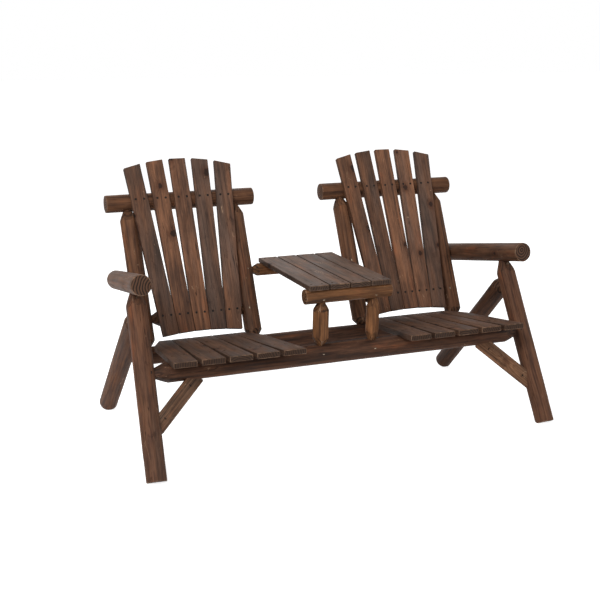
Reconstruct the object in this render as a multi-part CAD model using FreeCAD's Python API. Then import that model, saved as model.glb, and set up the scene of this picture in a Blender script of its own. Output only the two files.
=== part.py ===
import FreeCAD, Part
import math
import os

from FreeCAD import Vector

# A rustic two-seat log bench with a small table between the seats.
# Millimetres. X runs to the viewer's right, Y to the rear, Z up.
# The origin lies on the floor in the middle of the bench's outline.

# Fits and small details
joint_fit = 0.3
screw_fit = 0.15
edge_ease = 2.0
slat_edge_ease = 1.2
tenon_step = 3.0
tenon_short_of_axis = 2.0

# Side frames: front legs
front_leg_radius = 34.5
front_foot_x = 746.65
front_foot_y = -386.6
front_leg_top_x = 722.6
front_leg_top_y = -64.2
arm_height_at_leg = 591.6
leg_cone_length = 40.0
leg_cone_tip_radius = 19.5

# Side frames: rear legs
rear_leg_radius = 34.5
rear_leg_meeting_height = 500.0
rear_foot_x = 742.0
rear_foot_y = 379.3
rear_foot_trim = 2.5
rear_leg_cone_length = 24.0
rear_leg_cone_tip_radius = 20.0

# Armrests
arm_radius = 35.0
arm_height_at_post = 535.8
arm_front_overhang = 144.0
arm_rear_overhang = 60.0

# Beams across the bench
front_beam_radius = 35.7
front_beam_height = 314.5
rear_beam_radius = 32.4
rear_beam_height = 274.5
beam_cone_length = 43.0
beam_cone_tip_radius = 19.0

# Braces: half logs, flat face to the front
brace_radius = 27.0
brace_left_leg_height = 138.0
brace_left_beam_inset = 201.0
brace_right_leg_height = 121.0
brace_right_beam_inset = 213.0
brace_face_setback = 10.0

# Chair backs
back_post_radius = 32.5
back_post_spacing = 415.0
outer_post_inset = 94.4
post_top_cone_length = 36.0
post_top_cone_tip_radius = 16.5
post_bottom_cone_length = 20.0
post_bottom_cone_tip_radius = 18.0
top_rail_radius = 32.4
top_rail_length = 574.0
top_rail_height = 797.65
top_rail_y = 370.8
lower_rail_radius = 31.2
lower_rail_height = 396.7
lower_rail_forward = 5.5
lower_rail_cone_length = 31.0
lower_rail_cone_tip_radius = 15.0
rail_flat_depth = 7.6

# Back slats
slats_per_seat = 5
back_slat_thickness = 18.0
back_slat_width = 63.6
back_pitch_at_lower_rail = 63.7
back_pitch_at_top_rail = 82.0
back_slat_above_rail = 153.0
back_slat_below_rail = 66.8
back_top_arc_radius = 709.0
back_bottom_arc_radius = 1046.0
slat_gap = 0.6
rail_flat_margin = 5.0

# Seat slats
seat_front_overhang = 124.7
seat_rear_setback = 2.0
seat_front_flat_depth = 4.1
seat_rear_flat_depth = 1.8
seat_slat_thickness = 20.0
seat_slat_width = 82.0
seat_pitch_at_front = 95.9
seat_pitch_at_rear = 79.3
seat_corner_cut_width = 33.0
seat_corner_cut_length = 100.0
seat_flat_margin = 5.0

# Table between the seats
table_width = 311.15
table_depth = 520.7
table_height = 572.5
table_rear_overhang = 26.6
table_slat_count = 4
table_slat_thickness = 18.0
table_slat_gap = 4.0
table_flat_depth = 2.0
table_flat_margin = 5.0
crosspiece_front_radius = 26.4
crosspiece_front_length = 330.0
crosspiece_front_setback = 26.0
crosspiece_rear_radius = 24.0
crosspiece_cone_length = 20.0
crosspiece_cone_tip_radius = 14.0
table_post_offset = 100.5
table_post_left_radius = 28.5
table_post_right_radius = 23.5
table_post_cone_length = 26.0
table_post_cone_tip_radius = 14.5

# Screws
slat_screw_head_radius = 4.0
slat_screw_shank_radius = 2.0
slat_screw_length = 38.0
slat_screw_recess = 1.0
frame_screw_head_radius = 5.5
frame_screw_shank_radius = 3.0
frame_screw_recess = 0.5
screw_rim = 0.6
countersink_depth = 3.0
screw_tip_length = 4.0
hole_lead_in = 30.0

# Screw places: setbacks are measured from the meeting of the two axes back along the tenon
back_screw_half_spacing = 15.9
seat_screw_half_spacing = 20.0
seat_screw_rear_inset = 14.0
table_screw_half_spacing = 20.0
leg_screw_length = 48.0
leg_screw_setback = 15.0
arm_toe_screw_length = 75.0
arm_toe_screw_tilt = 0.3
arm_post_screw_length = 105.0
rear_toe_screw_length = 70.0
rear_toe_screw_tilt = 0.5
post_screw_length = 48.0
post_screw_setback = 9.0
lower_rail_screw_setback = 7.0
crosspiece_screw_setback = 4.0
table_post_screw_length = 36.0
table_post_screw_setback = 6.0
brace_screw_length = 60.0
brace_screw_inset = 25.0
brace_screw_tilt = 0.35

X_AXIS = Vector(1, 0, 0)
Y_AXIS = Vector(0, 1, 0)
Z_AXIS = Vector(0, 0, 1)
ORIGIN = Vector(0, 0, 0)
FAR = 3000.0

pieces = {}
screw_groups = {}


# Points and directions

def unit(vector):
    return Vector(vector).normalize()


def mirrored(point, side):
    return Vector(point.x * side, point.y, point.z)


def point_at_height(start, end, height):
    share = (height - start.z) / (end.z - start.z)
    return start + (end - start) * share


def square_to(direction, towards):
    """The direction square to a log that comes nearest to another direction."""
    return unit(towards - direction * direction.dot(towards))


def surface_distance(host_radius, host_direction, guest_direction):
    return host_radius / math.sin(host_direction.getAngle(guest_direction))


def cylinder(start, end, radius):
    along = end - start
    return Part.makeCylinder(radius, along.Length, start, along)


def long_cylinder(point, direction, radius):
    reach = unit(direction) * FAR
    return cylinder(point - reach, point + reach, radius)


def biggest_solid(shape):
    return max(shape.Solids, key=lambda solid: solid.Volume)


# Round logs

def turned(start, along, profile):
    """A solid of revolution from start; the profile holds (distance, radius) pairs."""
    points = [Vector(0, 0, profile[0][0])]
    points += [Vector(radius, 0, distance) for distance, radius in profile]
    points.append(Vector(0, 0, profile[-1][0]))
    face = Part.Face(Part.makePolygon(points + points[:1]))
    solid = face.revolve(ORIGIN, Z_AXIS, 360)
    solid.Placement = FreeCAD.Placement(start, FreeCAD.Rotation(Z_AXIS, along))
    return solid


def log(start, end, radius, start_cone=None, end_cone=None):
    """A log; a cone is (length of the slim tip, length of the cone, tip radius), None is a sawn end."""
    length = (end - start).Length
    if start_cone:
        tip, cone, tip_radius = start_cone
        profile = [(0, tip_radius), (tip, tip_radius), (tip + cone, radius)]
    else:
        profile = [(0, radius - edge_ease), (edge_ease, radius)]
    if end_cone:
        tip, cone, tip_radius = end_cone
        profile += [(length - tip - cone, radius), (length - tip, tip_radius), (length, tip_radius)]
    else:
        profile += [(length - edge_ease, radius), (length, radius - edge_ease)]
    return turned(start, end - start, profile)


def tenon_joint(guest, meeting, into, tip_radius, host, host_direction, host_radius, host_point=None):
    """Cope the guest's tip round the host and let its tenon into a blind mortise.

    The guest's axis runs through meeting in the direction into; host_point is needed only where
    the host's axis passes beside that meeting point.
    """
    tenon_radius = tip_radius - tenon_step
    cope_axis = meeting if host_point is None else host_point
    coped = pieces[guest].cut(long_cylinder(cope_axis, host_direction, host_radius + joint_fit))
    reach = surface_distance(host_radius, host_direction, into)
    root = meeting - into * (reach + tip_radius)
    bottom = meeting - into * tenon_short_of_axis
    pieces[guest] = biggest_solid(coped).fuse(cylinder(root, bottom, tenon_radius)).removeSplitter()
    mortise = cylinder(root, bottom + into * joint_fit, tenon_radius + joint_fit)
    pieces[host] = pieces[host].cut(mortise)


# Flat sawn pieces

def plane_placement(origin, x_direction, y_direction):
    normal = x_direction.cross(y_direction)
    matrix = FreeCAD.Matrix(
        x_direction.x, y_direction.x, normal.x, origin.x,
        x_direction.y, y_direction.y, normal.y, origin.y,
        x_direction.z, y_direction.z, normal.z, origin.z,
        0, 0, 0, 1)
    return FreeCAD.Placement(matrix)


def board(outline, thickness, placement):
    """A flat board; the outline is a list of (x, y) and the top face lies in the placed plane."""
    points = [Vector(x, y, 0) for x, y in outline]
    prism = Part.Face(Part.makePolygon(points + points[:1])).extrude(Z_AXIS * -thickness)
    eased = prism.makeChamfer(slat_edge_ease, prism.Edges)
    eased.Placement = placement
    return eased


def saw_flat(name, placement, half_width):
    """Cut away all of a piece that stands above a placed plane, within half_width of its middle."""
    block = Part.makeBox(2 * half_width, 2 * FAR, FAR, Vector(-half_width, -FAR, 0))
    block.Placement = placement
    pieces[name] = pieces[name].cut(block)


# Screws

def add_screw(group, entry, along, through, sizes, length):
    """Put a screw in its group and open its hole in every piece that it passes."""
    head, shank, recess = sizes
    screw = [
        (recess, head),
        (recess + screw_rim, head),
        (recess + countersink_depth, shank),
        (recess + length - screw_tip_length, shank),
        (recess + length, shank / 4)]
    hole = [(distance, radius + screw_fit) for distance, radius in screw]
    hole[0] = (-hole_lead_in, head + screw_fit)
    hole[-1] = (recess + length + screw_fit, shank / 4 + screw_fit)
    screw_groups.setdefault(group, []).append(turned(entry, along, screw))
    opening = turned(entry, along, hole)
    for name in through:
        pieces[name] = pieces[name].cut(opening)


def tenon_screw(group, host, guest, meeting, host_direction, into, host_radius, facing, setback, length):
    """A screw square to both logs, through the host and across the guest's tenon."""
    outward = unit(host_direction.cross(into))
    if outward.dot(facing) < 0:
        outward = -outward
    entry = meeting - into * setback + outward * math.sqrt(host_radius ** 2 - setback ** 2)
    add_screw(group, entry, -outward, [host, guest], frame_screw, length)


# Where the main axes run

def side_points(side):
    """The main points of one side frame; side is -1 on the left and 1 on the right."""
    foot = Vector(front_foot_x, front_foot_y, 0)
    top = Vector(front_leg_top_x, front_leg_top_y, arm_height_at_leg)
    meeting = point_at_height(foot, top, rear_leg_meeting_height)
    rear_floor = Vector(rear_foot_x, rear_foot_y, 0)
    run = rear_floor - meeting
    lift = rear_leg_radius * math.hypot(run.x, run.y) / run.Length - rear_foot_trim
    rear_foot = rear_floor + Z_AXIS * lift
    points = {
        "front_foot": foot,
        "front_top": top,
        "leg_meeting": meeting,
        "rear_foot": rear_foot,
        "front_beam_end": point_at_height(foot, top, front_beam_height),
        "rear_beam_end": point_at_height(rear_foot, meeting, rear_beam_height)}
    return {name: mirrored(point, side) for name, point in points.items()}


slat_screw = (slat_screw_head_radius, slat_screw_shank_radius, slat_screw_recess)
frame_screw = (frame_screw_head_radius, frame_screw_shank_radius, frame_screw_recess)
points_of = {"left": side_points(-1), "right": side_points(1)}
outward_of = {"left": -X_AXIS, "right": X_AXIS}
front_beam_y = points_of["right"]["front_beam_end"].y
rear_beam_y = points_of["right"]["rear_beam_end"].y
middle_slat = (slats_per_seat - 1) / 2

# Chair backs: the slats follow the line from the lower rail to the top rail
chair_centre_x = points_of["right"]["rear_beam_end"].x - outer_post_inset - back_post_spacing / 2
post_bottom = Vector(0, rear_beam_y, rear_beam_height)
post_top = Vector(0, top_rail_y, top_rail_height)
post_direction = unit(post_top - post_bottom)
lower_rail_middle = point_at_height(post_bottom, post_top, lower_rail_height) - Y_AXIS * lower_rail_forward
rail_spacing = (post_top - lower_rail_middle).Length
back_up = unit(post_top - lower_rail_middle)
back_rearward = -X_AXIS.cross(back_up)
slat_face_offset = top_rail_radius - rail_flat_depth + back_slat_thickness
arm_post_x = chair_centre_x + back_post_spacing / 2 + back_post_radius + arm_radius + joint_fit

# Seats: the slats lie on flats on both beams
front_beam_axis = Vector(0, front_beam_y, front_beam_height)
rear_beam_axis = Vector(0, rear_beam_y, rear_beam_height)
front_beam_to_seat = front_beam_radius - seat_front_flat_depth
rear_beam_to_seat = rear_beam_radius - seat_rear_flat_depth
beam_to_beam = rear_beam_axis - front_beam_axis
seat_twist = math.asin((front_beam_to_seat - rear_beam_to_seat) / beam_to_beam.Length)
beams_rearward = unit(beam_to_beam)
beams_up = X_AXIS.cross(beams_rearward)
seat_rearward = beams_rearward * math.cos(seat_twist) - beams_up * math.sin(seat_twist)
seat_up = X_AXIS.cross(seat_rearward)
seat_front_edge = (front_beam_axis + seat_up * (front_beam_to_seat + seat_slat_thickness)
                   - seat_rearward * seat_front_overhang)
seat_depth = seat_front_overhang + beam_to_beam.dot(seat_rearward) - seat_rear_setback


def leg_directions(name):
    points = points_of[name]
    return unit(points["front_top"] - points["front_foot"]), unit(points["leg_meeting"] - points["rear_foot"])


def post_axis_point(x, height):
    point = point_at_height(post_bottom, post_top, height)
    return Vector(x, point.y, point.z)


# Side frames

def make_side(name):
    points = points_of[name]
    up_front, up_rear = leg_directions(name)
    beside_post = post_axis_point(outward_of[name].x * arm_post_x, arm_height_at_post)
    along_arm = unit(beside_post - points["front_top"])
    leg = "front_leg_" + name
    rear = "rear_leg_" + name
    arm = "armrest_" + name
    floor = plane_placement(ORIGIN, X_AXIS, -Y_AXIS)

    arm_front = points["front_top"] - along_arm * arm_front_overhang
    arm_rear = beside_post + along_arm * arm_rear_overhang
    pieces[arm] = log(arm_front, arm_rear, arm_radius)

    arm_reach = surface_distance(arm_radius, along_arm, up_front)
    cone = (arm_reach, leg_cone_length, leg_cone_tip_radius)
    pieces[leg] = log(points["front_foot"], points["front_top"], front_leg_radius, None, cone)
    saw_flat(leg, floor, FAR)
    tenon_joint(leg, points["front_top"], up_front, leg_cone_tip_radius, arm, along_arm, arm_radius)

    leg_reach = surface_distance(front_leg_radius, up_front, up_rear)
    cone = (leg_reach, rear_leg_cone_length, rear_leg_cone_tip_radius)
    pieces[rear] = log(points["rear_foot"], points["leg_meeting"], rear_leg_radius, None, cone)
    saw_flat(rear, floor, FAR)
    tenon_joint(rear, points["leg_meeting"], up_rear, rear_leg_cone_tip_radius, leg, up_front, front_leg_radius)

    forward = square_to(up_front, -Y_AXIS)
    cone_middle = points["front_top"] - up_front * (arm_reach + leg_cone_length / 2)
    entry = cone_middle + forward * (front_leg_radius + leg_cone_tip_radius) / 2
    drive = unit(up_front - forward * arm_toe_screw_tilt)
    add_screw("armrest_screws", entry, drive, [leg, arm], frame_screw, arm_toe_screw_length)

    downward = square_to(up_rear, -Z_AXIS)
    shoulder = points["leg_meeting"] - up_rear * (leg_reach + rear_leg_cone_length)
    drive = unit(up_rear - downward * rear_toe_screw_tilt)
    add_screw("leg_frame_screws", shoulder + downward * rear_leg_radius, drive, [rear, leg], frame_screw,
              rear_toe_screw_length)


def make_beam(beam, end, radius, host, host_radius, facing):
    """A beam between two legs, with a coned tip and a tenon at both ends."""
    along = {name: leg_directions(name)[0 if end == "front_beam_end" else 1] for name in outward_of}
    cones = [(surface_distance(host_radius, along[name], X_AXIS), beam_cone_length, beam_cone_tip_radius)
             for name in ("left", "right")]
    pieces[beam] = log(points_of["left"][end], points_of["right"][end], radius, cones[0], cones[1])
    for name, outward in outward_of.items():
        meeting = points_of[name][end]
        tenon_joint(beam, meeting, outward, beam_cone_tip_radius, host + name, along[name], host_radius)
        tenon_screw("leg_frame_screws", host + name, beam, meeting, along[name], outward, host_radius,
                    facing, leg_screw_setback, leg_screw_length)


def make_brace(name, leg_height, beam_inset):
    """A half log with its flat face to the front, coped to the leg and to the front beam."""
    points = points_of[name]
    up_front = leg_directions(name)[0]
    low = point_at_height(points["front_foot"], points["front_top"], leg_height)
    high = points["front_beam_end"] - outward_of[name] * beam_inset
    low_front = low - Y_AXIS * brace_face_setback
    high_front = high - Y_AXIS * brace_face_setback
    along = unit(high_front - low_front)
    face_normal = square_to(along, -Y_AXIS)
    piece = "brace_" + name

    pieces[piece] = cylinder(low_front, high_front, brace_radius)
    saw_flat(piece, plane_placement(low_front, along, face_normal.cross(along)), FAR)
    leg_cope = long_cylinder(low, up_front, front_leg_radius + joint_fit)
    beam_cope = long_cylinder(high, X_AXIS, front_beam_radius + joint_fit)
    pieces[piece] = biggest_solid(pieces[piece].cut([leg_cope, beam_cope]))

    from_leg = surface_distance(front_leg_radius, up_front, along) + brace_screw_inset
    from_beam = surface_distance(front_beam_radius, X_AXIS, along) + brace_screw_inset
    ends = ((low_front + along * from_leg, -along, "front_leg_" + name),
            (high_front - along * from_beam, along, "front_beam"))
    for entry, towards, host in ends:
        drive = unit(towards - face_normal * brace_screw_tilt)
        add_screw("brace_screws", entry, drive, [piece, host], frame_screw, brace_screw_length)


def join_arm_to_post(name):
    outward = outward_of[name]
    beside_post = post_axis_point(outward.x * arm_post_x, arm_height_at_post)
    add_screw("armrest_screws", beside_post + outward * arm_radius, -outward,
              ["armrest_" + name, name + "_back_post_outer"], frame_screw, arm_post_screw_length)


# Chair backs

def make_back_frame(name):
    centre = outward_of[name] * chair_centre_x
    top_rail = name + "_top_rail"
    lower_rail = name + "_lower_rail"
    half_rail = X_AXIS * top_rail_length / 2
    pieces[top_rail] = log(post_top + centre - half_rail, post_top + centre + half_rail, top_rail_radius)

    half_spacing = X_AXIS * back_post_spacing / 2
    rail_cone = (back_post_radius, lower_rail_cone_length, lower_rail_cone_tip_radius)
    lower_middle = lower_rail_middle + centre
    pieces[lower_rail] = log(lower_middle - half_spacing, lower_middle + half_spacing, lower_rail_radius,
                             rail_cone, rail_cone)

    for hand in (-1, 1):
        post = name + ("_back_post_outer" if hand == outward_of[name].x else "_back_post_inner")
        bottom = post_bottom + centre + half_spacing * hand
        top = post_top + centre + half_spacing * hand
        pieces[post] = log(bottom, top, back_post_radius,
                           (rear_beam_radius, post_bottom_cone_length, post_bottom_cone_tip_radius),
                           (top_rail_radius, post_top_cone_length, post_top_cone_tip_radius))
        joints = (("rear_beam", bottom, -post_direction, post_bottom_cone_tip_radius, rear_beam_radius),
                  (top_rail, top, post_direction, post_top_cone_tip_radius, top_rail_radius))
        for host, meeting, into, tip_radius, host_radius in joints:
            tenon_joint(post, meeting, into, tip_radius, host, X_AXIS, host_radius)
            tenon_screw("back_frame_screws", host, post, meeting, X_AXIS, into, host_radius,
                        Y_AXIS, post_screw_setback, post_screw_length)

        outward = X_AXIS * hand
        on_post = post_axis_point(bottom.x, lower_middle.z)
        tenon_joint(lower_rail, lower_middle + half_spacing * hand, outward, lower_rail_cone_tip_radius,
                    post, post_direction, back_post_radius, on_post)
        tenon_screw("back_frame_screws", post, lower_rail, on_post, post_direction, outward, back_post_radius,
                    -Y_AXIS, lower_rail_screw_setback, post_screw_length)


def arc_drop(offset, radius):
    return radius - math.sqrt(radius ** 2 - offset ** 2)


def fanned_edge(index, hand, pitch, width):
    """The side edge of a fanned slat: full width, or as wide as its neighbours leave it."""
    return index * pitch + hand * min(width, pitch - slat_gap) / 2


def back_pitch(height):
    growth = (back_pitch_at_top_rail - back_pitch_at_lower_rail) / rail_spacing
    return back_pitch_at_lower_rail + growth * height


def back_slat_outline(index):
    """Outline about the chair's centre line; y 0 is at the lower rail."""
    growth = back_pitch(1) - back_pitch(0)
    full_width_from = (back_slat_width + slat_gap - back_pitch_at_lower_rail) / growth

    def corner(height, hand, arc_radius):
        x = fanned_edge(index, hand, back_pitch(height), back_slat_width)
        return x, height - arc_drop(x, arc_radius)

    def shoulder(hand):
        return fanned_edge(index, hand, back_pitch(full_width_from), back_slat_width), full_width_from

    top = rail_spacing + back_slat_above_rail
    bottom = -back_slat_below_rail
    return [
        corner(bottom, -1, back_bottom_arc_radius),
        corner(bottom, 1, back_bottom_arc_radius),
        shoulder(1),
        corner(top, 1, back_top_arc_radius),
        corner(top, -1, back_top_arc_radius),
        shoulder(-1)]


def make_back_slats(name):
    face_origin = lower_rail_middle + outward_of[name] * chair_centre_x - back_rearward * slat_face_offset
    placement = plane_placement(face_origin, X_AXIS, back_up)
    behind = plane_placement(face_origin + back_rearward * back_slat_thickness, X_AXIS, back_up)
    rows = ((0, name + "_lower_rail"), (rail_spacing, name + "_top_rail"))
    for height, rail in rows:
        outermost = fanned_edge(middle_slat, 1, back_pitch(height), back_slat_width)
        saw_flat(rail, behind, outermost + rail_flat_margin)
    for number in range(slats_per_seat):
        index = number - middle_slat
        slat = name + "_back_slat_" + str(number + 1)
        pieces[slat] = board(back_slat_outline(index), back_slat_thickness, placement)
        for height, rail in rows:
            for hand in (-1, 1):
                x = index * back_pitch(height) + hand * back_screw_half_spacing
                entry = placement.multVec(Vector(x, height, 0))
                add_screw(name + "_back_slat_screws", entry, back_rearward, [slat, rail],
                          slat_screw, slat_screw_length)


# Seats

def seat_pitch(along):
    growth = (seat_pitch_at_rear - seat_pitch_at_front) / seat_depth
    return seat_pitch_at_front + growth * along


def seat_slat_outline(index):
    """Outline about the chair's centre line; y 0 is the front edge."""
    growth = seat_pitch(1) - seat_pitch(0)
    narrow_from = (seat_slat_width + slat_gap - seat_pitch_at_front) / growth
    cut_from = seat_depth - seat_corner_cut_length

    def side_edge(hand):
        cut_corner = index * hand == middle_slat
        stations = [0, cut_from if cut_corner else narrow_from, seat_depth]
        edge = [[fanned_edge(index, hand, seat_pitch(along), seat_slat_width), along] for along in stations]
        if cut_corner:
            edge[-1][0] -= hand * seat_corner_cut_width
        return edge

    return side_edge(1) + side_edge(-1)[::-1]


def make_seat(name):
    front_edge = seat_front_edge + outward_of[name] * chair_centre_x
    placement = plane_placement(front_edge, X_AXIS, seat_rearward)
    under = plane_placement(front_edge - seat_up * seat_slat_thickness, X_AXIS, seat_rearward)
    rows = ((seat_front_overhang, "front_beam"), (seat_depth - seat_screw_rear_inset, "rear_beam"))
    for along, beam in rows:
        outermost = fanned_edge(middle_slat, 1, seat_pitch(along), seat_slat_width)
        saw_flat(beam, under, outermost + seat_flat_margin)
    for number in range(slats_per_seat):
        index = number - middle_slat
        slat = name + "_seat_slat_" + str(number + 1)
        pieces[slat] = board(seat_slat_outline(index), seat_slat_thickness, placement)
        for along, beam in rows:
            for hand in (-1, 1):
                x = index * seat_pitch(along) + hand * seat_screw_half_spacing
                if beam == "rear_beam" and index * hand == middle_slat:
                    x -= hand * seat_screw_half_spacing
                entry = placement.multVec(Vector(x, along, 0))
                add_screw(name + "_seat_slat_screws", entry, -seat_up, [slat, beam],
                          slat_screw, slat_screw_length)


# Table between the seats

def make_crosspieces(front_middle, rear_middle):
    half = X_AXIS * crosspiece_front_length / 2
    pieces["table_crosspiece_front"] = log(front_middle - half, front_middle + half, crosspiece_front_radius)
    inner_x = chair_centre_x - back_post_spacing / 2
    cone = (back_post_radius, crosspiece_cone_length, crosspiece_cone_tip_radius)
    pieces["table_crosspiece_rear"] = log(rear_middle - X_AXIS * inner_x, rear_middle + X_AXIS * inner_x,
                                          crosspiece_rear_radius, cone, cone)
    for name, outward in outward_of.items():
        post = name + "_back_post_inner"
        meeting = rear_middle + outward * inner_x
        tenon_joint("table_crosspiece_rear", meeting, outward, crosspiece_cone_tip_radius,
                    post, post_direction, back_post_radius)
        tenon_screw("table_frame_screws", post, "table_crosspiece_rear", meeting, post_direction, outward,
                    back_post_radius, -Y_AXIS, crosspiece_screw_setback, post_screw_length)


def make_table_post(name, radius, top_height, top_y):
    post = "table_post_" + name
    bottom = Vector(outward_of[name].x * table_post_offset, front_beam_y, front_beam_height)
    top = Vector(bottom.x, top_y, top_height)
    upward = unit(top - bottom)
    pieces[post] = log(bottom, top, radius,
                       (front_beam_radius, table_post_cone_length, table_post_cone_tip_radius),
                       (crosspiece_front_radius, table_post_cone_length, table_post_cone_tip_radius))
    joints = (("front_beam", bottom, -upward, front_beam_radius),
              ("table_crosspiece_front", top, upward, crosspiece_front_radius))
    for host, meeting, into, host_radius in joints:
        tenon_joint(post, meeting, into, table_post_cone_tip_radius, host, X_AXIS, host_radius)
        tenon_screw("table_frame_screws", host, post, meeting, X_AXIS, into, host_radius,
                    -Y_AXIS, table_post_screw_setback, table_post_screw_length)


def make_table():
    flats_height = table_height - table_slat_thickness + table_flat_depth
    rear_middle = post_axis_point(0, flats_height - crosspiece_rear_radius)
    rear_y = rear_middle.y + table_rear_overhang
    front_y = rear_y - table_depth
    front_middle = Vector(0, front_y + crosspiece_front_setback, flats_height - crosspiece_front_radius)
    make_crosspieces(front_middle, rear_middle)
    make_table_post("left", table_post_left_radius, front_middle.z, front_middle.y)
    make_table_post("right", table_post_right_radius, front_middle.z, front_middle.y)

    rows = ((front_middle.y, "table_crosspiece_front"), (rear_middle.y, "table_crosspiece_rear"))
    under = plane_placement(Z_AXIS * (table_height - table_slat_thickness), X_AXIS, Y_AXIS)
    for y, crosspiece in rows:
        saw_flat(crosspiece, under, table_width / 2 + table_flat_margin)
    slat_width = (table_width - (table_slat_count - 1) * table_slat_gap) / table_slat_count
    placement = plane_placement(Z_AXIS * table_height, X_AXIS, Y_AXIS)
    for number in range(table_slat_count):
        slat = "table_slat_" + str(number + 1)
        low_x = number * (slat_width + table_slat_gap) - table_width / 2
        high_x = low_x + slat_width
        outline = [(low_x, front_y), (high_x, front_y), (high_x, rear_y), (low_x, rear_y)]
        pieces[slat] = board(outline, table_slat_thickness, placement)
        for y, crosspiece in rows:
            for hand in (-1, 1):
                x = low_x + slat_width / 2 + hand * table_screw_half_spacing
                add_screw("table_slat_screws", placement.multVec(Vector(x, y, 0)), -Z_AXIS,
                          [slat, crosspiece], slat_screw, slat_screw_length)


def export_all():
    os.makedirs("parts", exist_ok=True)
    for name, shape in sorted(pieces.items()):
        if len(shape.Solids) != 1:
            print("check", name, "has", len(shape.Solids), "solids")
        shape.Solids[0].exportStep("parts/" + name + ".step")
    for name, screws in sorted(screw_groups.items()):
        Part.Compound(screws).exportStep("parts/" + name + ".step")
    print("nodes", len(pieces) + len(screw_groups))


for side_name in outward_of:
    make_side(side_name)
make_beam("front_beam", "front_beam_end", front_beam_radius, "front_leg_", front_leg_radius, -Y_AXIS)
make_beam("rear_beam", "rear_beam_end", rear_beam_radius, "rear_leg_", rear_leg_radius, Y_AXIS)
make_brace("left", brace_left_leg_height, brace_left_beam_inset)
make_brace("right", brace_right_leg_height, brace_right_beam_inset)
for side_name in outward_of:
    make_back_frame(side_name)
    join_arm_to_post(side_name)
    make_back_slats(side_name)
    make_seat(side_name)
make_table()
export_all()
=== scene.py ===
import bpy
import bmesh
import math
import random
from mathutils import Matrix, Vector, noise


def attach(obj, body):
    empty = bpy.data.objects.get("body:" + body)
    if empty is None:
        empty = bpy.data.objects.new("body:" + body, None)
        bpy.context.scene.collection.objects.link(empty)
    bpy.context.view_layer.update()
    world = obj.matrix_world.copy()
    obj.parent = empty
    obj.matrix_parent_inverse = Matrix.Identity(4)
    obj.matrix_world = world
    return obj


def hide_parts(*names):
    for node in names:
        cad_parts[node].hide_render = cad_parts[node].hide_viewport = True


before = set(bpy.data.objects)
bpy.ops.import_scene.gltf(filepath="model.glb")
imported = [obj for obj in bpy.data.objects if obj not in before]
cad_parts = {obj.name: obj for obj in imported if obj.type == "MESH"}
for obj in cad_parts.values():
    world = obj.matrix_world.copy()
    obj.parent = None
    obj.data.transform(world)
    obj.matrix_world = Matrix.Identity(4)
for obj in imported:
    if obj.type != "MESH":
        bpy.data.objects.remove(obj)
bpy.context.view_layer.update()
print("frame loaded with", len(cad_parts), "nodes")

xAxis = Vector((1, 0, 0))
yAxis = Vector((0, 1, 0))
zAxis = Vector((0, 0, 1))
turn = 2 * math.pi

# where the logs of a side run, in metres, as in the frame; a cone is (length, tip radius)
sideFrame = {
    "frontFoot": Vector((0.74665, -0.3866, 0)),
    "frontTop": Vector((0.7226, -0.0642, 0.5916)),
    "rearFloor": Vector((0.742, 0.3793, 0)),
    "rearFootTrim": 0.0025,
    "legMeeting": 0.5,
    "frontBeam": 0.3145,
    "rearBeam": 0.2745,
    "armAtPost": 0.5358,
    "armFrontOverhang": 0.144,
    "armRearOverhang": 0.06,
    "armGap": 0.0003,
    "legRadius": 0.0345,
    "legCone": (0.04, 0.0195),
    "rearLegRadius": 0.0345,
    "rearLegCone": (0.024, 0.02),
    "armRadius": 0.035,
    "frontBeamRadius": 0.0357,
    "rearBeamRadius": 0.0324,
    "beamCone": (0.043, 0.019),
    "braceOnLeg": {"left": 0.138, "right": 0.121},
    "braceInset": {"left": 0.201, "right": 0.213},
    "braceSetback": 0.01,
    "braceRadius": 0.027,
    "braceScrewInset": 0.025,
}

chairBack = {
    "postRadius": 0.0325,
    "postTopCone": (0.036, 0.0165),
    "postBottomCone": (0.02, 0.018),
    "postSpacing": 0.415,
    "outerPostInset": 0.0944,
    "topRailRadius": 0.0324,
    "topRailLength": 0.574,
    "topRailHeight": 0.79765,
    "topRailY": 0.3708,
    "lowerRailRadius": 0.0312,
    "lowerRailCone": (0.031, 0.015),
    "lowerRailHeight": 0.3967,
    "lowerRailForward": 0.0055,
    "flatDepth": 0.0076,
    "flatMargin": 0.005,
    "slats": 5,
    "slatThickness": 0.018,
    "slatWidth": 0.0636,
    "slatGap": 0.0006,
    "lowerPitch": 0.0637,
    "upperPitch": 0.082,
    "aboveRail": 0.153,
    "belowRail": 0.0668,
    "topArc": 0.709,
    "bottomArc": 1.046,
    "screwHalfSpacing": 0.0159,
}

seat = {
    "frontOverhang": 0.1247,
    "rearSetback": 0.002,
    "frontFlatDepth": 0.0041,
    "rearFlatDepth": 0.0018,
    "flatMargin": 0.005,
    "slatThickness": 0.02,
    "slatWidth": 0.082,
    "slatGap": 0.0006,
    "frontPitch": 0.0959,
    "rearPitch": 0.0793,
    "cornerCutWidth": 0.033,
    "cornerCutLength": 0.1,
    "screwHalfSpacing": 0.02,
    "screwRearInset": 0.014,
}

table = {
    "width": 0.31115,
    "depth": 0.5207,
    "height": 0.5725,
    "slats": 4,
    "slatThickness": 0.018,
    "slatGap": 0.004,
    "rearOverhang": 0.0266,
    "flatDepth": 0.002,
    "flatMargin": 0.003,
    "frontSetback": 0.026,
    "frontRadius": 0.0264,
    "frontLength": 0.33,
    "rearRadius": 0.024,
    "rearCone": (0.02, 0.014),
    "postOffset": 0.1005,
    "postRadius": {"left": 0.0285, "right": 0.0235},
    "postCone": (0.026, 0.0145),
    "screwHalfSpacing": 0.02,
}


def atHeight(start, end, height):
    return start.lerp(end, (height - start.z) / (end.z - start.z))


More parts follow.
